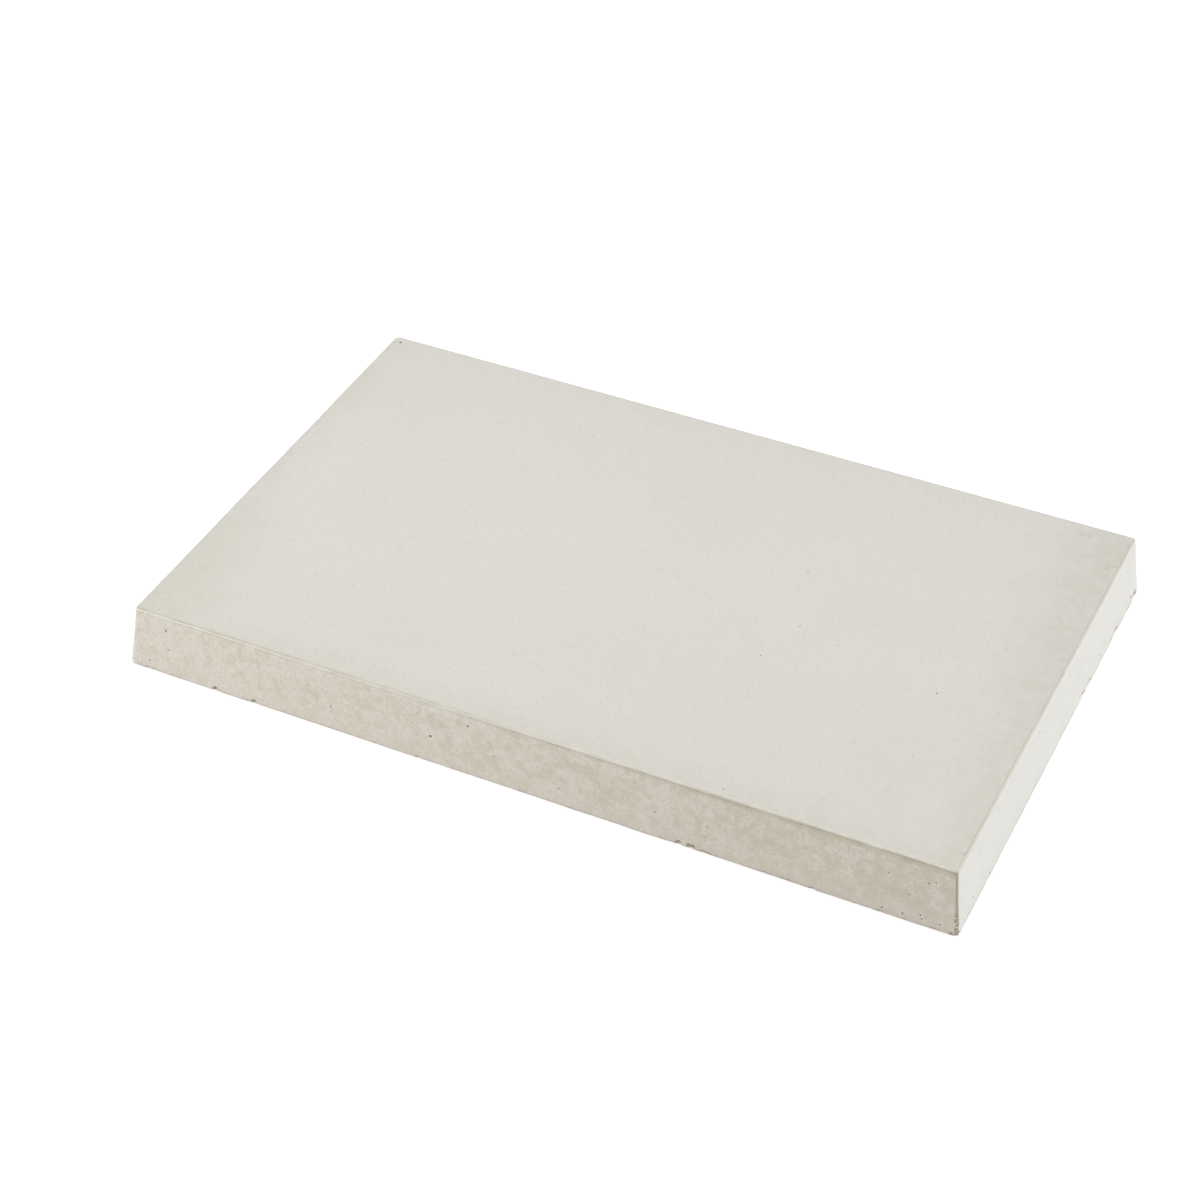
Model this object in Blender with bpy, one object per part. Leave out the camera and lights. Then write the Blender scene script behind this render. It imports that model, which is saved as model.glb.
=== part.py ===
"""A stone slab to tool leather on: one cast block with a flat work face and drafted sides.

Metres, +Z up. The origin is the middle of the base that the slab rests on, and +X runs along
its length. Run it with: blender --background --python part.py
"""

import bmesh
import bpy

COLLECTION_NAME = "granite_slab"

# Driving dimensions
WORK_FACE_LENGTH = 0.305  # top face along X, before its rim is rounded
WORK_FACE_WIDTH = 0.1895  # top face along Y, before its rim is rounded
THICKNESS = 0.025  # base to work face
END_DRAFT = 0.0026  # how far each short side stands out at the base
SIDE_DRAFT = 0.0021  # how far each long side stands out at the base
LEFT_CORNER_RADIUS = 0.0020  # upright corners at -X
RIGHT_CORNER_RADIUS = 0.0010  # upright corners at +X, which came out of the mould sharper
WORK_RIM_RADIUS = 0.0008  # rounded rim of the work face, smaller than the corners it runs round
BASE_RIM_RADIUS = 0.0004  # worn rim of the base

# How many facets a rounded edge has
CORNER_SEGMENTS = 8
WORK_RIM_SEGMENTS = 5
BASE_RIM_SEGMENTS = 3
SMOOTH_ANGLE = 0.6  # radians; facets that meet at less than this are shaded as one surface

# Finish
STONE_COLOUR = (0.66, 0.64, 0.58, 1.0)
STONE_ROUGHNESS = 0.5
STONE_METALLIC = 0.0


def clear_scene():
    """Removes whatever the scene starts with."""
    for old in list(bpy.data.objects):
        bpy.data.objects.remove(old, do_unlink=True)


def stone_material():
    """Pale warm stone, smooth from the mould."""
    material = bpy.data.materials.new("cast_stone")
    material.use_nodes = True
    shader = material.node_tree.nodes["Principled BSDF"]
    shader.inputs["Base Color"].default_value = STONE_COLOUR
    shader.inputs["Roughness"].default_value = STONE_ROUGHNESS
    shader.inputs["Metallic"].default_value = STONE_METALLIC
    return material


def drafted_block():
    """The block with every edge still square: the base is larger than the work face by the draft."""
    block = bmesh.new()
    bmesh.ops.create_cube(block, size=1.0)
    bmesh.ops.translate(block, vec=(0.0, 0.0, 0.5), verts=block.verts)
    bmesh.ops.scale(
        block, vec=(WORK_FACE_LENGTH, WORK_FACE_WIDTH, THICKNESS), verts=block.verts
    )
    length_at_base = WORK_FACE_LENGTH + 2 * END_DRAFT
    width_at_base = WORK_FACE_WIDTH + 2 * SIDE_DRAFT
    bmesh.ops.scale(
        block,
        vec=(length_at_base / WORK_FACE_LENGTH, width_at_base / WORK_FACE_WIDTH, 1.0),
        verts=[vert for vert in block.verts if vert.co.z < THICKNESS / 2],
    )
    return block


def upright_edges(block, side):
    """The upright corner edges on one side of the block's middle: -1 is -X and 1 is +X."""
    return [
        edge
        for edge in block.edges
        if abs(edge.verts[0].co.z - edge.verts[1].co.z) > THICKNESS / 2
        and edge.verts[0].co.x * side > 0
    ]


def rim_edges(block, z):
    """The edges round the flat face at this height."""
    face = min(block.faces, key=lambda face: abs(face.calc_center_median().z - z))
    return list(face.edges)


def round_edges(block, edges, radius, segments):
    """Rounds these edges to the radius."""
    bmesh.ops.bevel(
        block,
        geom=edges,
        offset=radius,
        offset_type="OFFSET",
        affect="EDGES",
        segments=segments,
        profile=0.5,
        clamp_overlap=True,
        material=-1,
    )


def build_slab():
    """The whole slab, as one closed solid."""
    block = drafted_block()
    for side, radius in ((-1, LEFT_CORNER_RADIUS), (1, RIGHT_CORNER_RADIUS)):
        round_edges(block, upright_edges(block, side), radius, CORNER_SEGMENTS)
    round_edges(block, rim_edges(block, THICKNESS), WORK_RIM_RADIUS, WORK_RIM_SEGMENTS)
    round_edges(block, rim_edges(block, 0.0), BASE_RIM_RADIUS, BASE_RIM_SEGMENTS)

    mesh = bpy.data.meshes.new("slab")
    block.to_mesh(mesh)
    block.free()
    mesh.shade_smooth()
    mesh.set_sharp_from_angle(angle=SMOOTH_ANGLE)
    mesh.materials.append(stone_material())
    return bpy.data.objects.new("slab", mesh)


def main():
    clear_scene()
    collection = bpy.data.collections.new(COLLECTION_NAME)
    bpy.context.scene.collection.children.link(collection)
    collection.objects.link(build_slab())


main()
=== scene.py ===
"""The looks of a stone slab for leather work: one cast block of pale stone, on a plain pale floor.

The slab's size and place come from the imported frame. What is made here is its real surface: rims that
wander and are chipped, pinholes, the rougher base, and the stone itself.
"""

import math
import random

import bmesh
import bpy
from mathutils import Matrix, Vector, kdtree, noise


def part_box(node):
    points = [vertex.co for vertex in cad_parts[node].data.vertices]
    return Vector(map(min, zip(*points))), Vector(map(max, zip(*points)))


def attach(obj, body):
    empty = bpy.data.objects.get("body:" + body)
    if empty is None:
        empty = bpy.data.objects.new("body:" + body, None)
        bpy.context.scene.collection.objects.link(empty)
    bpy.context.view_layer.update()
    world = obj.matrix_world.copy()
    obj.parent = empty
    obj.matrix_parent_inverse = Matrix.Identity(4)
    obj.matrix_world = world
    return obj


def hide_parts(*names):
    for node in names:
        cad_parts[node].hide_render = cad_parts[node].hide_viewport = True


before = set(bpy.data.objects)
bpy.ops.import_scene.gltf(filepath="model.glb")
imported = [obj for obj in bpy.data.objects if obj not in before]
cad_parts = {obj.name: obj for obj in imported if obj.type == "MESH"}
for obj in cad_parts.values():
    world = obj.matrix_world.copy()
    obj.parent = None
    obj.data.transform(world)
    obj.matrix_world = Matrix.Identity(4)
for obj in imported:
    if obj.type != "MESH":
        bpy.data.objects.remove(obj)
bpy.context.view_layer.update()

bl_info = {
    "name": "Stone slab for leather work",
    "version": (1, 0, 0),
    "blender": (4, 5, 0),
    "location": "3D View > Sidebar > Stone slab",
    "description": "Builds a cast stone slab with worn edges, and the floor and lights to see it by",
    "category": "Add Mesh",
}

SLAB_LOW, SLAB_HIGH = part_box("slab")
SLAB_SIZE = SLAB_HIGH - SLAB_LOW
MM = 0.001
SHARP_ANGLE = math.radians(38)  # edges that turn more than this are shaded sharp
SLIVER = 0.002 * MM  # shorter edges that the pinholes leave are taken out


# Sizes and colours


def length_prop(name, description, millimetres):
    """A size that a user can change, with its default in millimetres."""
    return bpy.props.FloatProperty(
        name=name, description=description, default=millimetres * MM, unit="LENGTH"
    )


def colour_prop(name, description, default):
    """A colour that a user can change."""
    return bpy.props.FloatVectorProperty(
        name=name, description=description, default=default, subtype="COLOR"
    )


class SlabShape(bpy.types.PropertyGroup):
    """The slab's form."""

    end_draft: length_prop("End draft", "How far each short side stands out at the base", 2.6)
    side_draft: length_prop("Side draft", "How far each long side stands out at the base", 2.1)
    end_flare: length_prop(
        "End flare", "How far the worn base runs out past each end of the true block", 0.7
    )
    side_flare: length_prop(
        "Side flare", "How far the worn base runs out past each long side of the true block", 0.9
    )
    left_corner: length_prop("Left corners", "Radius of the two upright corners at the left end", 2.0)
    right_corner: length_prop("Right corners", "Radius of the two upright corners at the right end", 1.0)
    work_rim: length_prop("Work face rim", "Radius of the rim round the work face", 0.8)
    base_rim: length_prop("Base rim", "Radius of the rim round the base", 0.4)
    point_spacing: length_prop(
        "Point spacing", "Distance between the points of the mesh along an edge", 0.6
    )


class SlabWear(bpy.types.PropertyGroup):
    """Chips, pinholes and unevenness."""

    seed: bpy.props.IntProperty(
        name="Seed",
        description="Another number gives other chips and pinholes",
        default=7,
    )
    rim_wander: length_prop("Rim wander", "How far the work face's rim strays from a straight line", 0.2)
    base_wander: length_prop(
        "Base wander", "How far the base's rim falls short of a straight line", 0.25
    )
    base_chips: bpy.props.IntProperty(
        name="Base chips",
        description="How many small chips the base rim has, besides the larger ones",
        default=120,
    )
    rim_nicks: bpy.props.IntProperty(
        name="Rim nicks",
        description="How many small nicks the rim of the work face has",
        default=10,
    )
    side_pinholes: bpy.props.IntProperty(
        name="Side pinholes",
        description="How many small air holes are scattered over the sides, besides the larger ones",
        default=44,
    )
    base_pinholes: bpy.props.IntProperty(
        name="Base pinholes",
        description="How many air holes are scattered over the base",
        default=70,
    )
    base_hollows: length_prop(
        "Base hollows", "Depth of the shallow hollows that the trowel left in the base", 0.45
    )
    low_corner: length_prop(
        "Low corner",
        "How far the work face falls at its front left corner, as from a mould out of level",
        1.2,
    )


class StoneColours(bpy.types.PropertyGroup):
    """The stone's colours."""

    work_face: colour_prop("Work face", "The smooth stone of the work face", (0.63, 0.611, 0.567))
    sides: colour_prop("Sides", "The clean stone of the sides and base", (0.64, 0.612, 0.548))
    right_end: colour_prop(
        "Right end",
        "The whiter stone of the right end, which has hardly any stains",
        (0.655, 0.645, 0.612),
    )
    stain: colour_prop("Stain", "The brown blotches on the sides", (0.50, 0.436, 0.333))
    # Also used as painted shade high on the right end
    soil: colour_prop(
        "Soil",
        "The greenish grey that gathers near the edges of the work face",
        (0.54, 0.525, 0.455),
    )
    # A brown for the smudges and dark grains, and for the lines along the rims, corners and foot, which
    # are partly painted shade
    seam: colour_prop("Seam", "The thin brown lines along the rims and corners", (0.36, 0.30, 0.215))
    fleck: colour_prop("Fleck", "The short thin marks and dots in the work face", (0.40, 0.385, 0.34))
    # Painted shade inside the pinholes
    hole_shade: colour_prop("Hole", "The dark inside of a pinhole", (0.085, 0.065, 0.045))
    grit: colour_prop("Grit", "The light grains in broken stone", (0.66, 0.60, 0.49))
    binder: colour_prop(
        "Binder", "The darker stuff between the grains in broken stone", (0.30, 0.215, 0.135)
    )


class StageSettings(bpy.types.PropertyGroup):
    """Camera, floor and lights."""

    azimuth: bpy.props.FloatProperty(
        name="Azimuth",
        description="How far the camera stands round to the right of the long front side",
        default=math.radians(25.67),
        subtype="ANGLE",
    )
    elevation: bpy.props.FloatProperty(
        name="Elevation",
        description="How far the camera looks down",
        default=math.radians(39.02),
        subtype="ANGLE",
    )
    distance: bpy.props.FloatProperty(
        name="Distance",
        description="From the camera to the spot that it looks at",
        default=0.9812,
        unit="LENGTH",
    )
    aim: bpy.props.FloatVectorProperty(
        name="Aim",
        description="The spot on the floor that the camera looks at",
        default=(-0.0200, 0.0065, 0.0),
        subtype="TRANSLATION",
    )
    focal_length: bpy.props.FloatProperty(
        name="Focal length",
        description="Of the lens, in millimetres on a sensor 36 mm wide",
        default=80.5,
    )
    sky_light: bpy.props.FloatProperty(
        name="Sky light",
        description="How strongly the plain white surroundings light the slab",
        default=0.08,
    )
    floor_glow: bpy.props.FloatProperty(
        name="Floor glow",
        description="How strongly the floor near the slab is lit from beneath, against dark shadows",
        default=0.2,
    )
    floor_colour: colour_prop("Floor", "Colour of the plain floor", (0.93, 0.93, 0.93))


# Mesh


def row_heights(shape, thickness):
    """Heights of the rows of points up a side: close together at the rims, wide apart between them."""
    fine, wide = 0.4 * MM, 2.2 * MM
    lower_growth, upper_growth = 1.16, 1.3
    heights = [0.0]
    step = fine
    while heights[-1] < thickness / 2:
        heights.append(heights[-1] + step)
        step = min(step * lower_growth, wide)
    top_of_side = thickness - shape.work_rim
    upper = [top_of_side]
    step = fine
    while upper[-1] - step > heights[-1] + step / 2:
        upper.append(upper[-1] - step)
        step = min(step * upper_growth, wide)
    arc_steps = 5
    arc = [
        top_of_side + shape.work_rim * math.sin(math.pi / 2 * k / arc_steps)
        for k in range(1, arc_steps + 1)
    ]
    return heights + upper[::-1] + arc


def cut_rows(block, heights):
    """Cuts a row of points round the block at each height between its ends."""
    for height in heights[1:-1]:
        bmesh.ops.bisect_plane(
            block,
            geom=block.verts[:] + block.edges[:] + block.faces[:],
            dist=1e-7,
            plane_co=(0.0, 0.0, height),
            plane_no=(0.0, 0.0, 1.0),
        )


def cut_columns(block, size, spacing):
    """Cuts the long sides and the ends into columns of points."""
    for axis in (0, 1):
        level = [
            edge
            for edge in block.edges
            if abs(edge.verts[0].co[axis] - edge.verts[1].co[axis]) > size[axis] / 2
        ]
        bmesh.ops.subdivide_edges(
            block,
            edges=level,
            cuts=round(size[axis] / spacing) - 1,
            use_grid_fill=True,
        )


def outward(vert):
    """The level direction out of the slab's side at this point."""
    return Vector((vert.normal.x, vert.normal.y, 0.0)).normalized()


def round_rims(block, shape, thickness):
    """Draws the top and bottom rows in, so that both rims are round."""
    block.normal_update()
    moves = []
    for vert in block.verts:
        above = vert.co.z - (thickness - shape.work_rim)
        below = shape.base_rim - vert.co.z
        draw_in = 0.0
        if above > 0.0:
            draw_in = shape.work_rim - math.sqrt(max(shape.work_rim**2 - above**2, 0.0))
        elif below > 0.0:
            draw_in = shape.base_rim - math.sqrt(max(shape.base_rim**2 - below**2, 0.0))
        moves.append((vert, outward(vert) * draw_in))
    for vert, move in moves:
        vert.co -= move


def open_block(shape, size):
    """The drafted block with rounded upright corners, open at its base and work face."""
    block = bmesh.new()
    bmesh.ops.create_cube(block, size=1.0)
    bmesh.ops.translate(block, vec=(0.0, 0.0, 0.5), verts=block.verts)
    bmesh.ops.scale(block, vec=size, verts=block.verts)
    bmesh.ops.scale(
        block,
        vec=(
            1 - 2 * (shape.end_draft + shape.end_flare) / size.x,
            1 - 2 * (shape.side_draft + shape.side_flare) / size.y,
            1.0,
        ),
        verts=[vert for vert in block.verts if vert.co.z > size.z / 2],
    )
    for side, radius in ((-1, shape.left_corner), (1, shape.right_corner)):
        upright = [
            edge
            for edge in block.edges
            if abs(edge.verts[0].co.z - edge.verts[1].co.z) > size.z / 2
            and edge.verts[0].co.x * side > 0
        ]
        bmesh.ops.bevel(
            block,
            geom=upright,
            offset=radius,
            offset_type="OFFSET",
            affect="EDGES",
            segments=6,
            profile=0.5,
            clamp_overlap=True,
            material=-1,
        )
    block.normal_update()
    flats = [face for face in block.faces if abs(face.normal.z) > 0.9]
    bmesh.ops.delete(block, geom=flats, context="FACES_ONLY")
    return block


def fill_flat(block, z, flat_row, cell):
    """Closes the block's open end at this height: a flat row inside the rim, then square cells."""
    ring = [
        edge for edge in block.edges if edge.is_boundary and abs(edge.verts[0].co.z - z) < 0.01 * MM
    ]
    reach = [max(abs(vert.co[axis]) for edge in ring for vert in edge.verts) for axis in (0, 1)]
    grown = bmesh.ops.extrude_edge_only(block, edges=ring)["geom"]
    inner_verts = [part for part in grown if isinstance(part, bmesh.types.BMVert)]
    inner_edges = [
        part for part in grown if isinstance(part, bmesh.types.BMEdge) and part.is_boundary
    ]
    for vert in inner_verts:
        for axis in (0, 1):
            limit = reach[axis] - flat_row
            vert.co[axis] = max(-limit, min(limit, vert.co[axis]))
    grid_reach = [limit - flat_row - cell for limit in reach]
    # Two level rings bridge the wrong way round, so the grid is joined half way up and then moved
    half_way = Matrix.Translation((0.0, 0.0, SLAB_SIZE.z / 2))
    made = bmesh.ops.create_grid(
        block,
        x_segments=round(2 * grid_reach[0] / cell),
        y_segments=round(2 * grid_reach[1] / cell),
        size=1.0,
        matrix=half_way @ Matrix.Diagonal((*grid_reach, 1.0, 1.0)),
    )["verts"]
    grid_edges = {edge for vert in made for edge in vert.link_edges if edge.is_boundary}
    bmesh.ops.bridge_loops(block, edges=inner_edges + list(grid_edges))
    for vert in made:
        vert.co.z = z
    bmesh.ops.remove_doubles(
        block, verts=[vert for vert in inner_verts if vert.is_valid], dist=0.02 * MM
    )


# Wear

# The side's name, the axis across it and the end of that axis where it stands.
SIDES = {"front": (1, -1), "right": (0, 1), "back": (1, 1), "left": (0, -1)}

# Larger breaks in the base rim: side, place along it, width and depth, all in millimetres, and stretch.
BASE_BREAKS = (
    ("front", -134.9, 1.2, 0.4, 1.0),
    ("front", -119.6, 2.5, 1.0, 1.1),
    ("front", -108.5, 1.0, 0.4, 1.0),
    ("front", -103.6, 2.2, 0.8, 1.4),
    ("front", 51.7, 1.2, 0.4, 1.5),
    ("front", 58.6, 2.2, 0.8, 1.2),
    ("front", 62.9, 2.6, 1.0, 1.1),
    ("front", 67.9, 1.6, 0.5, 2.6),
    ("right", 92.0, 3.4, 1.1, 1.8),
    ("right", 83.0, 1.8, 0.5, 2.0),
    ("right", 69.5, 2.8, 0.9, 2.4),
    ("right", 64.0, 1.8, 0.6, 1.6),
    ("right", 39.0, 2.0, 0.6, 2.6),
    ("right", 31.0, 2.4, 0.8, 2.2),
    ("right", 6.0, 1.6, 0.4, 2.4),
    ("right", -61.0, 1.6, 0.5, 1.4),
    ("back", 118.0, 2.6, 0.9, 1.6),
    ("back", 71.0, 1.8, 0.6, 1.3),
    ("back", -12.0, 3.0, 1.0, 2.2),
    ("back", -88.0, 2.0, 0.7, 1.2),
    ("left", 52.0, 2.4, 0.8, 1.8),
    ("left", -30.0, 1.8, 0.6, 1.4),
)

# Crumbled base corners: which end, which side, height reached, widest chip (millimetres), and count.
CRUMBLED_CORNERS = (
    (1, -1, 7.5, 2.0, 26),
    (1, 1, 3.0, 2.4, 12),
    (-1, -1, 1.5, 1.4, 5),
    (-1, 1, 2.5, 2.2, 9),
)

# The larger pinholes, in millimetres: place along the side, height and width.
SIDE_HOLES = {
    "front": (
        (-139.5, 19.3, 0.75), (-138.8, 11.3, 0.55), (-146.8, 4.0, 0.65), (-150.3, 1.8, 0.45),
        (-153.0, 2.5, 0.4), (-134.2, 2.0, 0.4), (-34.2, 11.1, 0.85), (-20.2, 20.4, 0.75),
        (-10.2, 11.4, 0.55), (67.6, 6.7, 0.45), (130.4, 16.5, 0.5), (129.8, 2.2, 0.55),
        (138.2, 10.8, 0.45), (136.8, 2.6, 0.65), (143.8, 17.3, 0.65), (142.6, 4.1, 0.5),
        (143.2, 2.7, 0.5), (146.1, 18.4, 0.4), (149.2, 2.9, 0.55),
    ),
    "right": (
        (88.6, 16.8, 0.6), (88.3, 9.4, 0.6), (88.0, 3.4, 0.8), (51.9, 2.9, 0.7),
        (-14.9, 19.3, 0.6), (57.1, 5.2, 0.45), (-67.2, 1.8, 0.6), (-82.6, 4.2, 0.55),
    ),
}

# Pinholes in the work face, in millimetres: the two places on it and the width.
WORK_FACE_HOLES = (
    (-148.8, 91.2, 0.95),
    (-51.9, 66.7, 0.5),
    (71.1, -91.2, 0.65),
    (151.2, -86.1, 0.6),
    (117.1, -17.0, 0.5),
    (53.1, 25.0, 0.45),
    (62.0, -4.1, 0.5),
    (55.9, -24.4, 0.45),
)


def fade(value, start, end):
    """0 up to the start, 1 from the end, and smooth between them."""
    part = max(0.0, min(1.0, (value - start) / (end - start)))
    return part * part * (3.0 - 2.0 * part)


def let_sides_wander(block, wear):
    """Bends the sides a little out of true: both ways at the work face, and inward at the base."""
    half = SLAB_SIZE / 2
    for vert in block.verts:
        high = fade(vert.co.z, 0.4 * SLAB_SIZE.z, SLAB_SIZE.z)
        for axis in (0, 1):
            out = fade(abs(vert.co[axis]), half[axis] - 9 * MM, half[axis] - 3 * MM)
            side = math.copysign(1.0, vert.co[axis])
            along = vert.co[1 - axis]
            lane = 4.0 * axis + 9.1 * side + wear.seed
            stray = 0.7 * noise.noise((along / (48 * MM), lane, 0.0))
            stray += 0.4 * noise.noise((along / (13 * MM), lane, 5.0))
            shift = wear.rim_wander * high * stray
            shift -= wear.base_wander * (1.0 - high) * max(0.0, 0.5 + stray)
            vert.co[axis] += side * out * shift


def half_at(height, shape):
    """Half the slab's length and width at this height."""
    part = height / SLAB_SIZE.z
    return (
        SLAB_SIZE.x / 2 + shape.end_flare * (1 - part) - shape.end_draft * part,
        SLAB_SIZE.y / 2 + shape.side_flare * (1 - part) - shape.side_draft * part,
    )


def side_spot(side, along, height, shape):
    """A spot on a side, and the level direction into the slab there."""
    across, end = SIDES[side]
    spot = Vector((0.0, 0.0, height))
    spot[across] = end * half_at(height, shape)[across]
    spot[1 - across] = along
    inward = Vector((0.0, 0.0, 0.0))
    inward[across] = -end
    return spot, inward


def random_side_spot(draw, height, shape, clear):
    """A spot anywhere round the slab at this height, clear of the corners."""
    side = draw.choices(("front", "right", "back", "left"), weights=(8, 5, 8, 5))[0]
    across = SIDES[side][0]
    reach = SLAB_SIZE[1 - across] / 2 - clear
    return side_spot(side, draw.uniform(-reach, reach), height, shape)


def chip_away(tree, bites, centre, inward, width, depth, stretch):
    """Breaks a hollow out of a rim. Stretch makes it longer along the rim than across it."""
    reach = width / 2
    along = inward.cross(Vector((0.0, 0.0, 1.0))).normalized()
    for place, index, _ in tree.find_range(centre, reach * stretch):
        offset = place - centre
        run = offset.dot(along)
        across = (offset - along * run).length
        spread = math.hypot(run / stretch, across) / reach
        if spread >= 1.0:
            continue
        ragged = 0.85 + 0.45 * noise.noise(place * 900.0) + 0.3 * noise.noise(place * 2300.0)
        bite = depth * min(1.0, 1.6 * (1.0 - spread * spread)) * max(ragged, 0.2)
        if bite > bites.get(index, (0.0, None))[0]:
            bites[index] = (bite, inward)


def chip_rims(block, shape, wear):
    """Chips the base rim and its corners, and nicks the rim of the work face."""
    draw = random.Random(wear.seed)
    verts = list(block.verts)
    near_rims = [
        (index, vert.co)
        for index, vert in enumerate(verts)
        if vert.co.z < 10 * MM or vert.co.z > SLAB_SIZE.z - 4 * MM
    ]
    tree = kdtree.KDTree(len(near_rims))
    for index, place in near_rims:
        tree.insert(place, index)
    tree.balance()
    up = Vector((0.0, 0.0, 1.0))
    bites = {}

    for side, along, width, depth, stretch in BASE_BREAKS:
        spot, inward = side_spot(side, along * MM, 0.3 * width * MM, shape)
        inward = (0.9 * inward + 0.4 * up).normalized()
        chip_away(tree, bites, spot, inward, width * MM, depth * MM, stretch)
    for _ in range(wear.base_chips):
        spot, inward = random_side_spot(draw, draw.uniform(0.0, 0.3) * MM, shape, 3 * MM)
        width = (0.9 + 0.9 * draw.random() ** 3) * MM
        inward = (0.8 * inward + 0.6 * up).normalized()
        chip_away(tree, bites, spot, inward, width, 0.33 * width, draw.uniform(1.0, 1.8))
    for _ in range(wear.rim_nicks):
        spot, inward = random_side_spot(draw, SLAB_SIZE.z - 0.2 * MM, shape, 3 * MM)
        width = draw.uniform(0.7, 1.1) * MM
        inward = (0.6 * inward - 0.8 * up).normalized()
        chip_away(tree, bites, spot, inward, width, 0.08 * width, draw.uniform(1.0, 1.6))
    for end, side, reach, widest, count in CRUMBLED_CORNERS:
        for _ in range(count):
            height = reach * MM * draw.random() ** 2.2
            half = half_at(height, shape)
            spot = Vector((end * half[0], side * half[1], height))
            spot.x -= end * draw.uniform(0.0, 0.6) * MM
            spot.y -= side * draw.uniform(0.0, 0.6) * MM
            if height < 0.8 * MM:
                spot[draw.choice((0, 1))] *= 1.0 - draw.uniform(0.0, 0.03)
            inward = Vector((-0.6 * end, -0.6 * side, draw.uniform(0.1, 0.5))).normalized()
            width = draw.uniform(0.5, 1.0) * widest * MM
            chip_away(tree, bites, spot, inward, width, 0.3 * width, 1.0)

    broken = block.verts.layers.float["broken"]
    for index, (bite, inward) in bites.items():
        verts[index].co += bite * inward
        verts[index][broken] = min(1.0, bite / (0.16 * MM))


def roughen_base(block, wear):
    """Frays the base rim, and leaves shallow trowelled hollows in the base."""
    broken = block.verts.layers.float["broken"]
    for vert in block.verts:
        if vert.co.z > 1.4 * MM:
            continue
        low = 1.0 - fade(vert.co.z, 0.2 * MM, 1.4 * MM)
        fray = noise.noise(vert.co * 640.0) + 0.6 * noise.noise(vert.co * 1500.0)
        level = Vector((vert.normal.x, vert.normal.y, 0.0))
        vert.co -= level * 0.16 * MM * low * max(0.0, fray + 0.2)
        vert[broken] = min(1.0, vert[broken] + 0.7 * low * max(0.0, fray))
        if vert.normal.z < -0.9:
            hollow = 0.8 * noise.noise(vert.co * 75.0) + 0.5 * noise.noise(vert.co * 210.0)
            hollow += 0.3 * noise.noise(vert.co * 520.0)
            vert.co.z += wear.base_hollows * max(0.0, min(1.0, hollow + 0.1))


def lower_corner(block, wear):
    """Lets the work face fall evenly towards its front left corner."""
    for vert in block.verts:
        left = 0.5 - vert.co.x / SLAB_SIZE.x
        front = 0.5 - vert.co.y / SLAB_SIZE.y
        vert.co.z *= 1.0 - wear.low_corner / SLAB_SIZE.z * left * front


def build_slab_mesh(shape, wear):
    """The whole slab as one closed mesh, before its pinholes."""
    size = SLAB_SIZE + 2 * Vector((shape.end_flare, shape.side_flare, 0.0))
    block = open_block(shape, size)
    cut_rows(block, row_heights(shape, size.z))
    cut_columns(block, size, shape.point_spacing)
    round_rims(block, shape, size.z)
    fill_flat(block, size.z, 0.8 * MM, 5 * MM)
    fill_flat(block, 0.0, 0.8 * MM, 2.2 * MM)
    bmesh.ops.recalc_face_normals(block, faces=block.faces)
    block.verts.layers.float.new("broken")
    let_sides_wander(block, wear)
    chip_rims(block, shape, wear)
    block.normal_update()
    roughen_base(block, wear)
    lower_corner(block, wear)
    mesh = bpy.data.meshes.new("stone_slab")
    block.to_mesh(mesh)
    block.free()
    return mesh


def sink_hole(holes, spot, inward, width):
    """Adds one small uneven ball, sunk in the surface at the spot, to cut a pinhole with."""
    centre = spot + inward * 0.12 * width
    made = bmesh.ops.create_icosphere(
        holes, subdivisions=2, radius=width / 2, matrix=Matrix.Translation(centre)
    )["verts"]
    for vert in made:
        vert.co += (vert.co - centre) * 0.5 * noise.noise(vert.co * 1700.0)


def build_hole_mesh(shape, wear):
    """All the balls that cut the pinholes."""
    draw = random.Random(wear.seed + 1)
    down = Vector((0.0, 0.0, -1.0))
    holes = bmesh.new()
    for side, places in SIDE_HOLES.items():
        for along, height, width in places:
            spot, inward = side_spot(side, along * MM, height * MM, shape)
            sink_hole(holes, spot, inward, width * MM)
    for across, along, width in WORK_FACE_HOLES:
        sink_hole(holes, Vector((across * MM, along * MM, SLAB_SIZE.z)), down, width * MM)
    for _ in range(wear.side_pinholes):
        height = draw.uniform(2.5 * MM, SLAB_SIZE.z - 3 * MM)
        spot, inward = random_side_spot(draw, height, shape, 4 * MM)
        sink_hole(holes, spot, inward, (0.25 + 0.3 * draw.random() ** 2) * MM)
    for _ in range(wear.base_pinholes):
        across = draw.uniform(-0.48, 0.48) * SLAB_SIZE.x
        along = draw.uniform(-0.47, 0.47) * SLAB_SIZE.y
        spot = Vector((across, along, 0.0))
        sink_hole(holes, spot, -down, (0.8 + 2.4 * draw.random() ** 3) * MM)
    lower_corner(holes, wear)
    for face in holes.faces:
        face.material_index = 1
    mesh = bpy.data.meshes.new("pinholes")
    holes.to_mesh(mesh)
    holes.free()
    return mesh


def cut_holes(context, slab, hole_mesh):
    """Cuts the pinholes out of the slab for good."""
    balls = bpy.data.objects.new("pinholes", hole_mesh)
    context.scene.collection.objects.link(balls)
    for material in slab.data.materials:
        hole_mesh.materials.append(material)
    cut = slab.modifiers.new("pinholes", "BOOLEAN")
    cut.operation = "DIFFERENCE"
    cut.solver = "MANIFOLD"
    cut.object = balls
    solid = slab.evaluated_get(context.evaluated_depsgraph_get())
    mesh = bpy.data.meshes.new_from_object(solid)
    slab.modifiers.remove(cut)
    bpy.data.objects.remove(balls)
    bpy.data.meshes.remove(hole_mesh)
    slab.data = mesh
    mesh.name = "stone_slab"
    block = bmesh.new()
    block.from_mesh(mesh)
    bmesh.ops.dissolve_degenerate(block, dist=SLIVER, edges=block.edges)
    block.to_mesh(mesh)
    block.free()


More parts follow.
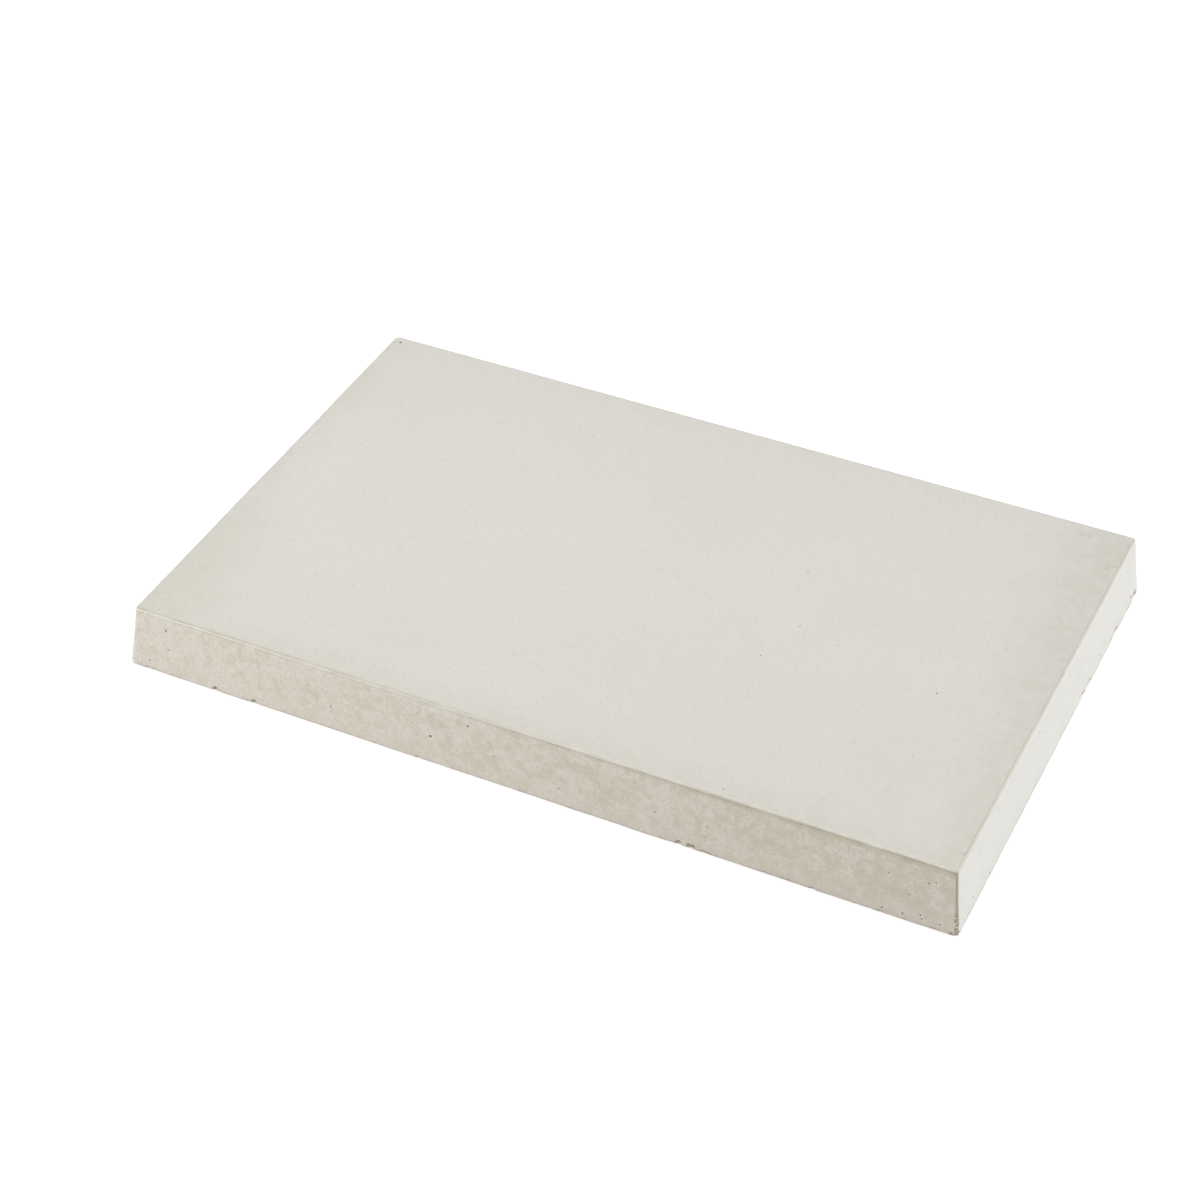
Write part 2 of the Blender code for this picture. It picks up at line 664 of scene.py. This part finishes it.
def side_of(face):
    """Which side of the slab a face belongs to, by where it is and, near a rim, the way it faces."""
    x, y, z = face.center
    half = SLAB_SIZE / 2
    depths = {"front": half.y + y, "right": half.x - x, "back": half.y - y, "left": half.x + x}
    near_rim = 3 * MM
    in_hole = face.material_index == 1
    if in_hole or (face.normal.z > 0.7 and SLAB_SIZE.z - z < near_rim):
        depths["work_face"] = SLAB_SIZE.z - z if in_hole else 0.0
    if in_hole or (face.normal.z < -0.7 and z < near_rim):
        depths["base"] = z if in_hole else 0.0
    return min(depths, key=depths.get)


def lay_out_map(mesh):
    """Lays the whole surface out flat in one UV map, the base at a smaller scale than the rest."""
    fine, coarse = 2.68, 1.60  # widths of the map per metre
    gap = 0.004
    strip = fine * SLAB_SIZE.z + gap
    room = SLAB_SIZE + Vector((2 * MM, 2 * MM, 0.0))
    row = fine * room.y + 2 * gap
    column = fine * room.x + 2 * gap
    # For each side: where its part of the map starts, its scale, and what runs across it and up it
    parts = {
        "work_face": (gap, gap, fine, (1, 0, 0), (0, 1, 0)),
        "front": (gap, row, fine, (1, 0, 0), (0, 0, 1)),
        "back": (gap, row + strip, fine, (-1, 0, 0), (0, 0, 1)),
        "base": (gap, row + 2 * strip, coarse, (-1, 0, 0), (0, 1, 0)),
        "left": (column, gap, fine, (0, 0, 1), (0, 1, 0)),
        "right": (column + strip, gap, fine, (0, 0, -1), (0, 1, 0)),
    }
    half = room / 2
    middle = Vector((0.0, 0.0, half.z))
    spots = mesh.uv_layers.new(name="OFBake").uv
    for face in mesh.polygons:
        left, low, scale, across, up = parts[side_of(face)]
        across, up = Vector(across), Vector(up)
        left += scale * abs(half.dot(across))
        low += scale * abs(half.dot(up))
        for corner in face.loop_indices:
            place = mesh.vertices[mesh.loops[corner].vertex_index].co - middle
            spots[corner].vector = (left + scale * place.dot(across), low + scale * place.dot(up))


# Materials

# The palest grains in the sides.
LIGHT_GRAIN = (0.74, 0.72, 0.67)

# Long scratches in the work face, in millimetres: start, end, width and bow, and then the strength.
SCRATCHES = (
    ((4.9, 5.6), (48.3, -10.8), 0.28, -0.6, 0.3),
    ((18.5, 48.9), (66.8, 3.6), 0.22, -1.5, 0.16),
)

# Smudges near the far right corner of the work face, in millimetres: start, end and width.
SMUDGES = (
    ((132.5, 89.5), (138.5, 88.0), 1.6),
    ((145.5, 76.0), (152.5, 73.5), 1.5),
    ((143.5, 69.0), (149.5, 66.5), 1.3),
)


class Wiring:
    """Adds nodes to a shader tree and joins them."""

    def __init__(self, tree):
        self.tree = tree

    def add(self, kind, inputs=None, **settings):
        """A node with its settings made and its sockets set or joined."""
        node = self.tree.nodes.new(kind)
        for name, value in settings.items():
            setattr(node, name, value)
        for socket, value in (inputs or {}).items():
            self.feed(node.inputs[socket], value)
        return node

    def feed(self, socket, value):
        """Joins a socket to another one, or sets its value."""
        if isinstance(value, bpy.types.NodeSocket):
            self.tree.links.new(value, socket)
        elif socket.type == "RGBA":
            socket.default_value = (*value[:3], 1.0)
        else:
            socket.default_value = value

    def maths(self, operation, first, second=0.0, clamp=False):
        inputs = {0: first, 1: second}
        return self.add("ShaderNodeMath", inputs, operation=operation, use_clamp=clamp).outputs[0]

    def fold(self, operation, values):
        """One operation run through all the values in turn."""
        result = values[0]
        for value in values[1:]:
            result = self.maths(operation, result, value)
        return result

    def product(self, *values):
        return self.fold("MULTIPLY", values)

    def total(self, *values):
        return self.fold("ADD", values)

    def greatest(self, *values):
        return self.fold("MAXIMUM", values)

    def less(self, first, second):
        return self.maths("SUBTRACT", first, second)

    def size_of(self, value):
        """The value without its sign."""
        return self.maths("ABSOLUTE", value)

    def vector(self, operation, first, second=(0.0, 0.0, 0.0), out=0):
        inputs = {0: first, 1: second}
        return self.add("ShaderNodeVectorMath", inputs, operation=operation).outputs[out]

    def parts(self, vector):
        """A vector's X, Y and Z."""
        return self.add("ShaderNodeSeparateXYZ", {0: vector}).outputs

    def cells(self, place, scale, **settings):
        """Uneven cells: distance to the middle of each, three random values for it, and its middle."""
        node = self.add("ShaderNodeTexVoronoi", {"Vector": place, "Scale": scale}, **settings).outputs
        pick = self.add("ShaderNodeSeparateColor", {"Color": node["Color"]}).outputs
        return node["Distance"], pick, node["Position"]

    def step(self, value, start, end, low=0.0, high=1.0):
        """Low up to the start, high from the end, and smooth between them. The end may be below."""
        inputs = {"Value": value, "From Min": start, "From Max": end, "To Min": low, "To Max": high}
        return self.add("ShaderNodeMapRange", inputs, interpolation_type="SMOOTHSTEP").outputs[0]

    def band(self, value, middle, reach):
        """1 at the middle value, fading to 0 at this reach on both sides."""
        return self.step(self.size_of(self.less(value, middle)), reach, 0.0)

    def mix(self, mask, first, second):
        """The first colour where the mask is 0, and the second where it is 1."""
        inputs = {"Factor": mask, "A": first, "B": second}
        node = self.add("ShaderNodeMix", data_type="RGBA", clamp_factor=True)
        for socket in node.inputs:
            if socket.enabled and socket.name in inputs:
                self.feed(socket, inputs[socket.name])
        return next(socket for socket in node.outputs if socket.enabled)

    def cloud(self, place, size, detail=2.0, roughness=0.5, distortion=0.0, shift=0.0):
        """Soft random values round one half, which change over about this size."""
        if shift:
            place = self.vector("ADD", place, (shift, shift, shift))
        inputs = {
            "Vector": place,
            "Scale": 1.0 / size,
            "Detail": detail,
            "Roughness": roughness,
            "Distortion": distortion,
        }
        return self.add("ShaderNodeTexNoise", inputs).outputs[0]

    def group(self, group, **inputs):
        """A copy of a node group, with its sockets set or joined."""
        node = self.add("ShaderNodeGroup", node_tree=group)
        for name, value in inputs.items():
            self.feed(node.inputs[name.replace("_", " ")], value)
        return node.outputs


def new_group(name, inputs, outputs):
    """An empty node group. It returns the group, its wiring, its input sockets and its output node."""
    group = bpy.data.node_groups.new(name, "ShaderNodeTree")
    for label, default in inputs.items():
        kind = "NodeSocketVector" if default is None else "NodeSocketFloat"
        socket = group.interface.new_socket(name=label, in_out="INPUT", socket_type=kind)
        if default is not None:
            socket.default_value = default
    for label in outputs:
        group.interface.new_socket(name=label, in_out="OUTPUT", socket_type="NodeSocketFloat")
    wiring = Wiring(group)
    return group, wiring, wiring.add("NodeGroupInput").outputs, wiring.add("NodeGroupOutput").inputs


def sand_grain_group():
    """Fine grain: dark and light specks, and the height of the grains."""
    group, wiring, inputs, outputs = new_group(
        "sand_grain", {"Place": None, "Speck Share": 0.04}, ("Dark", "Light", "Height")
    )
    place = inputs["Place"]
    fine = wiring.cloud(place, 0.42 * MM, detail=1.0)
    coarse = wiring.cloud(place, 1.1 * MM, detail=2.0, roughness=0.6, shift=0.31)
    away, pick, _ = wiring.cells(place, 1.0 / (0.75 * MM))
    near = wiring.step(away, 0.42, 0.2)
    dark_grain = wiring.maths("LESS_THAN", pick[0], inputs["Speck Share"])
    light_grain = wiring.maths("LESS_THAN", pick[1], inputs["Speck Share"])
    wiring.feed(outputs["Dark"], wiring.product(dark_grain, near))
    wiring.feed(outputs["Light"], wiring.product(light_grain, near))
    wiring.feed(outputs["Height"], wiring.total(wiring.product(fine, 0.5), wiring.product(coarse, 0.5)))
    return group


def stain_group():
    """Brown blotches with curdled edges that gather in loose clusters."""
    group, wiring, inputs, outputs = new_group("stains", {"Place": None, "Cover": 0.5}, ("Mask",))
    place = inputs["Place"]
    blotch = wiring.cloud(place, 5.0 * MM, detail=5.0, roughness=0.68, distortion=0.3)
    cluster = wiring.cloud(place, 24 * MM, detail=2.0, shift=0.83)
    crumb = wiring.cloud(place, 1.3 * MM, detail=3.0, roughness=0.7, shift=0.47)
    strength = wiring.total(
        wiring.product(blotch, 0.74),
        wiring.product(cluster, 0.12),
        wiring.product(crumb, 0.22),
        wiring.product(inputs["Cover"], 0.3),
    )
    wiring.feed(outputs["Mask"], wiring.step(strength, 0.635, 0.81))
    return group


def fleck_group():
    """Short thin curved marks, one in each cell of an uneven net, each turned its own way."""
    group, wiring, inputs, outputs = new_group(
        "flecks",
        {"Place": None, "Spacing": 7 * MM, "Length": 1.0 * MM, "Width": 0.1 * MM},
        ("Mask",),
    )
    place = inputs["Place"]
    scale = wiring.maths("DIVIDE", 1.0, inputs["Spacing"])
    _, pick, middle = wiring.cells(place, scale, voronoi_dimensions="2D")
    offset = wiring.vector("SUBTRACT", place, middle)
    turned = wiring.add(
        "ShaderNodeVectorRotate",
        {"Vector": offset, "Angle": wiring.product(pick[0], 2 * math.pi)},
        rotation_type="Z_AXIS",
    ).outputs[0]
    parts = wiring.parts(turned)
    length = wiring.product(inputs["Length"], wiring.total(pick[1], 0.25))
    run = wiring.maths("DIVIDE", parts[0], length)
    bend = wiring.product(wiring.less(pick[2], 0.5), length, run, run)
    across = wiring.maths("DIVIDE", wiring.total(parts[1], bend), inputs["Width"])
    thin = wiring.step(wiring.size_of(across), 1.0, 0.2)
    ends = wiring.step(wiring.size_of(run), 1.0, 0.5)
    wiring.feed(outputs["Mask"], wiring.product(thin, ends, pick[2]))
    return group


def scratch_group():
    """One long thin scratch, from a start towards an end."""
    group, wiring, inputs, outputs = new_group(
        "scratch",
        {"Place": None, "Start": None, "End": None, "Width": 0.1 * MM, "Bow": 0.0},
        ("Mask",),
    )
    span = wiring.vector("SUBTRACT", inputs["End"], inputs["Start"])
    offset = wiring.vector("SUBTRACT", inputs["Place"], inputs["Start"])
    length = wiring.vector("LENGTH", span, out="Value")
    along = wiring.vector("NORMALIZE", span)
    run = wiring.vector("DOT_PRODUCT", offset, along, out="Value")
    run = wiring.maths("DIVIDE", run, length)
    across = wiring.parts(wiring.vector("CROSS_PRODUCT", along, offset))[2]
    arch = wiring.product(run, wiring.less(1.0, run), 4.0, inputs["Bow"])
    thin = wiring.step(wiring.size_of(wiring.less(across, arch)), inputs["Width"], 0.0)
    ends = wiring.product(wiring.step(run, 0.0, 0.35), wiring.step(run, 1.0, 0.8))
    wiring.feed(outputs["Mask"], wiring.product(thin, ends))
    return group


def new_material(name):
    """A node material, its wiring and its shader."""
    material = bpy.data.materials.new(name)
    material.use_nodes = True
    return material, Wiring(material.node_tree), material.node_tree.nodes["Principled BSDF"]


def cast_stone(colours, groups, side_draft):
    """The slab's stone: a smooth work face, stained sides, soiled rims, brown lines that are partly
    painted shade along the rims and corners, and grit where it is broken.
    """
    material, wiring, shader = new_material("cast_stone")
    coordinates = wiring.add("ShaderNodeTexCoord").outputs
    place = coordinates["Object"]
    x, y, z = wiring.parts(place)
    facing_x, facing_y, facing_z = wiring.parts(coordinates["Normal"])
    broken = wiring.add("ShaderNodeAttribute", attribute_name="broken").outputs["Fac"]
    half = SLAB_SIZE / 2
    thickness = SLAB_SIZE.z
    on_top = wiring.step(facing_z, 0.35, 0.8)
    on_side = wiring.step(wiring.size_of(facing_z), 0.8, 0.4)
    to_right = wiring.step(facing_x, 0.45, 0.9)
    to_front = wiring.step(facing_y, -0.15, -0.45)
    broad = wiring.cloud(place, 42 * MM, detail=3.0)
    middling = wiring.cloud(place, 9 * MM, detail=4.0, roughness=0.55)
    curdled = wiring.cloud(place, 4.5 * MM, detail=4.0, roughness=0.65, distortion=0.3, shift=0.57)
    mealy = wiring.cloud(place, 1.8 * MM, detail=2.0, roughness=0.6, shift=0.71)
    dark, light, grain = wiring.group(groups["sand_grain"], Place=place, Speck_Share=0.05)

    # Soil on the work face: it gathers towards the edges, most of all at the right end
    ragged = wiring.product(wiring.less(middling, 0.5), 14 * MM)
    from_right = wiring.total(wiring.less(half.x - 3 * MM, x), ragged)
    from_left = wiring.total(x, half.x - 3 * MM, ragged)
    from_long = wiring.total(wiring.less(half.y - 3 * MM, wiring.size_of(y)), ragged)
    right_reach = wiring.step(y, -half.y, half.y, 0.7, 1.5)
    left_reach = wiring.step(y, -half.y, 0.3 * half.y, 3.0, 1.2)
    right_soil = wiring.product(
        wiring.step(wiring.maths("DIVIDE", from_right, right_reach), 26 * MM, 2 * MM),
        wiring.step(y, -half.y, half.y, 0.36, 0.56),
    )
    left_soil = wiring.product(
        wiring.step(wiring.maths("DIVIDE", from_left, left_reach), 14 * MM, 0.0),
        wiring.step(y, -half.y, 0.3 * half.y, 0.5, 0.26),
    )
    long_soil = wiring.product(
        wiring.step(from_long, 15 * MM, 0.0), wiring.step(y, -half.y, half.y, 0.24, 0.12)
    )
    edge_soil = wiring.greatest(right_soil, long_soil, left_soil)
    soil = wiring.total(
        wiring.product(edge_soil, wiring.step(curdled, 0.3, 0.7, 0.72, 1.28)),
        wiring.step(y, 0.2 * half.y, -half.y, 0.0, 0.27),
        wiring.step(broad, 0.42, 0.72, 0.0, 0.10),
        wiring.step(middling, 0.55, 0.75, 0.0, 0.07),
        wiring.step(curdled, 0.5, 0.8, 0.0, 0.09),
        wiring.step(mealy, 0.3, 0.75, -0.07, 0.13),
    )
    top = wiring.mix(soil, colours.work_face, colours.soil)

    # Short hairs and dots in the work face, two long scratches and some smudges
    def flecks(spacing, length, width):
        sizes = {"Spacing": spacing * MM, "Length": length * MM, "Width": width * MM}
        return wiring.group(groups["flecks"], Place=place, **sizes)[0]

    def line(where, start, end, width, bow=0.0):
        ends = {"Start": (*start, 0.0), "End": (*end, 0.0)}
        ends = {name: Vector(spot) * MM for name, spot in ends.items()}
        return wiring.group(groups["scratch"], Place=where, Width=width * MM, Bow=bow * MM, **ends)[0]

    marks = wiring.total(
        wiring.product(flecks(6.0, 1.7, 0.17), 0.58),
        wiring.product(flecks(5.0, 0.42, 0.3), 0.62),
        *(wiring.product(line(place, *scratch), share) for *scratch, share in SCRATCHES),
    )
    top = wiring.mix(marks, top, colours.fleck)
    stir = wiring.product(wiring.less(curdled, 0.5), 10 * MM)
    stirred = wiring.vector("ADD", place, stir)
    for smudge in SMUDGES:
        top = wiring.mix(wiring.product(line(stirred, *smudge), 0.24), top, colours.seam)

    # Sides: brown blotches, fewer on the right end, with dark and light grains
    more_to_right = wiring.step(x, -half.x, half.x, 0.42, 0.62)
    stains = wiring.product(
        wiring.group(groups["stains"], Place=place, Cover=more_to_right)[0],
        wiring.step(z, 0.0, 0.45 * thickness, 0.35, 1.0),
        wiring.step(to_right, 0.0, 1.0, 0.64, 0.064),
    )
    sandy = wiring.product(
        wiring.step(grain, 0.38, 0.62, 0.5, 0.0), wiring.step(to_right, 0.0, 1.0, 1.0, 0.3)
    )
    runs = wiring.add("ShaderNodeMapping", {"Vector": place, "Scale": (1.0, 1.0, 0.12)}).outputs[0]
    runs = wiring.cloud(runs, 3.5 * MM, detail=3.0, roughness=0.6)
    runs = wiring.product(wiring.step(runs, 0.52, 0.72, 0.0, 0.14), to_right)
    # Painted shade: the right end is painted greyer towards its top, to even out the light on it
    upper_right_shade = wiring.product(wiring.step(z, 0.1 * thickness, 0.9 * thickness, 0.0, 0.17), to_right)
    side = wiring.mix(to_right, colours.sides, colours.right_end)
    for mask, tint in (
        (stains, colours.stain),
        (sandy, colours.stain),
        (runs, colours.soil),
        (upper_right_shade, colours.soil),
        (wiring.product(dark, 0.3), colours.seam),
        (wiring.product(light, 0.5), LIGHT_GRAIN),
    ):
        side = wiring.mix(mask, side, tint)
    colour = wiring.mix(on_top, side, top)

    # Thin brown lines along the rims, up the corners and along the base, partly painted shade
    patchy = wiring.step(wiring.cloud(place, 7 * MM, detail=3.0, shift=0.19), 0.3, 0.65, 0.35, 1.0)
    at_rim = wiring.product(
        wiring.step(z, thickness - 2.6 * MM, thickness - 2.2 * MM),
        wiring.step(facing_z, 0.9995, 0.99),
    )
    rim_y = side_draft - half.y
    # Partly painted shade: a thin brown line on the work face just inside the front rim, on its left
    # part
    inner_line = wiring.product(
        wiring.step(y, rim_y + 1.7 * MM, rim_y + 1.1 * MM),
        on_top,
        wiring.step(x, 30 * MM, -20 * MM, 0.0, 0.3),
        patchy,
    )
    # Partly painted shade: bands on the rounded rim by the way it faces, and the front rim darker
    # towards the right
    rim_lines = wiring.total(
        wiring.product(wiring.band(facing_z, 0.27, 0.16), 0.8),
        wiring.product(wiring.band(facing_z, 0.955, 0.05), 0.8),
        wiring.product(to_front, wiring.step(x, -35 * MM, 110 * MM, 0.0, 0.4)),
    )
    # Painted shade: a darker band on the sides just under the work face's rim, weak on the right end
    under_rim_shade = wiring.product(
        wiring.step(z, thickness - 2.6 * MM, thickness - 0.9 * MM, 0.0, 0.34),
        on_side,
        wiring.step(x, -60 * MM, 130 * MM, 0.25, 1.0),
        wiring.step(to_right, 0.0, 1.0, 1.0, 0.15),
    )
    # Partly painted shade: darker lines up the upright corners, stronger towards the right
    corner = wiring.product(
        wiring.step(wiring.size_of(wiring.product(facing_x, facing_y)), 0.16, 0.42),
        on_side,
        wiring.step(x, -half.x / 2, half.x / 2, 0.12, 0.9),
    )
    # Partly painted shade: a darker brown line along the foot
    foot = wiring.total(z, wiring.product(wiring.less(grain, 0.5), -1.2 * MM))
    base_line = wiring.product(wiring.step(foot, 0.8 * MM, 0.25 * MM, 0.0, 0.85), patchy, on_side)
    right_rim = wiring.product(
        wiring.step(facing_x, 0.2, 0.6), wiring.step(facing_z, 0.2, 0.5), at_rim, 0.5
    )
    colour = wiring.mix(right_rim, colour, colours.soil)
    brown_lines_and_shade = wiring.greatest(
        wiring.product(rim_lines, patchy, at_rim), under_rim_shade, corner, inner_line, base_line
    )
    colour = wiring.mix(brown_lines_and_shade, colour, colours.seam)

    # Broken stone: light grains in a darker binder
    _, pick, _ = wiring.cells(place, 1.0 / (0.55 * MM))
    grit = wiring.mix(wiring.step(pick[0], 0.35, 0.75), colours.binder, colours.grit)
    colour = wiring.mix(wiring.step(broken, 0.15, 0.7, 0.0, 0.9), colour, grit)
    wiring.feed(shader.inputs["Base Color"], colour)

    polish = wiring.total(
        wiring.step(on_top, 0.0, 1.0, 0.56, 0.40),
        wiring.step(middling, 0.3, 0.7, -0.05, 0.05),
        wiring.product(broken, 0.3),
        wiring.product(at_rim, -0.16),
    )
    wiring.feed(shader.inputs["Roughness"], polish)
    worn = wiring.step(patchy, 0.4, 0.8, 0.6, 1.0)
    rubbed = wiring.product(at_rim, to_front, wiring.step(x, -15 * MM, -45 * MM), worn)
    wiring.feed(shader.inputs["Coat Weight"], rubbed)
    shader.inputs["Coat Roughness"].default_value = 0.12

    # Height in millimetres: long waves, grain that is coarser where it is broken, and the marks
    grain_depth = wiring.total(
        wiring.step(on_top, 0.0, 1.0, 0.035, 0.006), wiring.product(broken, 0.2)
    )
    height = wiring.total(
        wiring.product(broad, 0.12),
        wiring.product(grain, grain_depth),
        wiring.product(marks, on_top, -0.01),
    )
    bump = wiring.add("ShaderNodeBump", {"Height": height, "Distance": MM, "Strength": 1.0})
    wiring.feed(shader.inputs["Normal"], bump.outputs[0])
    return material


def shaded_hole_stone(colours, groups):
    """The gritty stone inside a pinhole, painted dark as shade."""
    material, wiring, shader = new_material("shaded_hole_stone")
    place = wiring.add("ShaderNodeTexCoord").outputs["Object"]
    _, light, grain = wiring.group(groups["sand_grain"], Place=place, Speck_Share=0.15)
    # Painted shade: the inside of a pinhole is painted almost black, with some darker binder and light
    # grit
    colour = wiring.mix(wiring.step(grain, 0.45, 0.7), colours.hole_shade, colours.binder)
    colour = wiring.mix(wiring.product(light, 0.4), colour, colours.grit)
    wiring.feed(shader.inputs["Base Color"], colour)
    shader.inputs["Roughness"].default_value = 0.95
    bump = wiring.add("ShaderNodeBump", {"Height": grain, "Distance": 0.15 * MM})
    wiring.feed(shader.inputs["Normal"], bump.outputs[0])
    return material


# Operators


class SLAB_OT_make_slab(bpy.types.Operator):
    """Builds the stone slab with its worn surface"""

    bl_idname = "stone_slab.make_slab"
    bl_label = "Make the slab"

    def execute(self, context):
        scene = context.scene
        slab = bpy.data.objects.new("stone_slab", build_slab_mesh(scene.slab_shape, scene.slab_wear))
        scene.collection.objects.link(slab)
        groups = {
            "sand_grain": sand_grain_group(),
            "stains": stain_group(),
            "flecks": fleck_group(),
            "scratch": scratch_group(),
        }
        slab.data.materials.append(
            cast_stone(scene.stone_colours, groups, scene.slab_shape.side_draft)
        )
        slab.data.materials.append(shaded_hole_stone(scene.stone_colours, groups))
        cut_holes(context, slab, build_hole_mesh(scene.slab_shape, scene.slab_wear))
        lay_out_map(slab.data)
        slab.data.shade_smooth()
        slab.data.set_sharp_from_angle(angle=SHARP_ANGLE)
        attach(slab, "root")
        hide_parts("slab")
        return {"FINISHED"}


def aim_at(thing, place, target):
    """Puts a camera or light at a place and turns it to face the target."""
    thing.location = place
    thing.rotation_mode = "QUATERNION"
    thing.rotation_quaternion = (Vector(target) - Vector(place)).to_track_quat("-Z", "Y")


def softbox(name, place, size, watts, colour=(1.0, 1.0, 1.0)):
    """A large soft rectangular light, turned to the slab."""
    light = bpy.data.lights.new(name, "AREA")
    light.shape = "RECTANGLE"
    light.size, light.size_y = size
    light.energy = watts
    light.color = colour
    box = bpy.data.objects.new(name, light)
    bpy.context.scene.collection.objects.link(box)
    aim_at(box, place, (0.0, 0.0, 0.0))
    box.visible_camera = False
    return box


class SLAB_OT_set_stage(bpy.types.Operator):
    """Lays a plain pale floor under the slab, with a camera and soft lights"""

    bl_idname = "stone_slab.set_stage"
    bl_label = "Set the stage"

    def execute(self, context):
        scene = context.scene
        stage = scene.slab_stage

        camera = bpy.data.cameras.new("camera")
        camera.sensor_width = 36.0
        camera.lens = stage.focal_length
        eye = bpy.data.objects.new("camera", camera)
        scene.collection.objects.link(eye)
        around, up = stage.azimuth, stage.elevation
        back = Vector(
            (math.sin(around) * math.cos(up), -math.cos(around) * math.cos(up), math.sin(up))
        )
        aim = Vector(stage.aim)
        aim_at(eye, aim + back * stage.distance, aim)
        scene.camera = eye

        ground = bmesh.new()
        bmesh.ops.create_grid(ground, x_segments=1, y_segments=1, size=6.0)
        sheet = bpy.data.meshes.new("floor")
        ground.to_mesh(sheet)
        ground.free()
        paint = bpy.data.materials.new("floor_paint")
        paint.use_nodes = True
        shader = paint.node_tree.nodes["Principled BSDF"]
        shader.inputs["Base Color"].default_value = (*stage.floor_colour, 1.0)
        shader.inputs["Roughness"].default_value = 0.9
        shader.inputs["Specular IOR Level"].default_value = 0.0
        wiring = Wiring(paint.node_tree)
        place = wiring.add("ShaderNodeTexCoord").outputs["Object"]
        far = wiring.step(wiring.vector("LENGTH", place, out="Value"), 0.5, 0.9)
        glow = wiring.mix(far, (stage.floor_glow,) * 3, (1.0, 1.0, 1.0))
        wiring.feed(shader.inputs["Emission Color"], glow)
        shader.inputs["Emission Strength"].default_value = 1.0
        sheet.materials.append(paint)
        floor = bpy.data.objects.new("floor", sheet)
        scene.collection.objects.link(floor)

        world = bpy.data.worlds.new("studio")
        world.use_nodes = True
        wiring = Wiring(world.node_tree)
        seen = wiring.add("ShaderNodeLightPath").outputs["Is Camera Ray"]
        strength = wiring.step(seen, 0.0, 1.0, stage.sky_light, 1.0)
        sky = world.node_tree.nodes["Background"]
        wiring.feed(sky.inputs["Color"], (1.0, 1.0, 1.0))
        wiring.feed(sky.inputs["Strength"], strength)
        scene.world = world

        softbox("top_light", (0.0, 0.0, 1.5), (1.2, 1.2), 23.5)
        softbox("right_light", (1.42, 0.38, 0.31), (1.0, 0.6), 10.2, (0.98, 1.0, 1.03))
        softbox("left_light", (-0.84, -0.48, 0.26), (0.7, 0.6), 4.05)
        softbox("rim_light", (-0.49, -0.6, 0.53), (0.3, 0.12), 0.9)

        scene.view_settings.view_transform = "Standard"
        return {"FINISHED"}


class SLAB_PT_panel(bpy.types.Panel):
    """Lists the slab's settings and steps"""

    bl_idname = "SLAB_PT_panel"
    bl_label = "Stone slab"
    bl_space_type = "VIEW_3D"
    bl_region_type = "UI"
    bl_category = "Stone slab"

    def draw(self, context):
        scene = context.scene
        for group in (scene.slab_shape, scene.slab_wear, scene.stone_colours, scene.slab_stage):
            box = self.layout.box()
            for name in group.__annotations__:
                box.prop(group, name)
        self.layout.operator(SLAB_OT_make_slab.bl_idname)
        self.layout.operator(SLAB_OT_set_stage.bl_idname)


CLASSES = (
    SlabShape,
    SlabWear,
    StoneColours,
    StageSettings,
    SLAB_OT_make_slab,
    SLAB_OT_set_stage,
    SLAB_PT_panel,
)


def register():
    for cls in CLASSES:
        bpy.utils.register_class(cls)
    bpy.types.Scene.slab_shape = bpy.props.PointerProperty(type=SlabShape)
    bpy.types.Scene.slab_wear = bpy.props.PointerProperty(type=SlabWear)
    bpy.types.Scene.stone_colours = bpy.props.PointerProperty(type=StoneColours)
    bpy.types.Scene.slab_stage = bpy.props.PointerProperty(type=StageSettings)


def unregister():
    del bpy.types.Scene.slab_stage
    del bpy.types.Scene.stone_colours
    del bpy.types.Scene.slab_wear
    del bpy.types.Scene.slab_shape
    for cls in reversed(CLASSES):
        bpy.utils.unregister_class(cls)


def main():
    register()
    bpy.ops.stone_slab.make_slab()
    bpy.ops.stone_slab.set_stage()


if __name__ == "__main__":
    main()
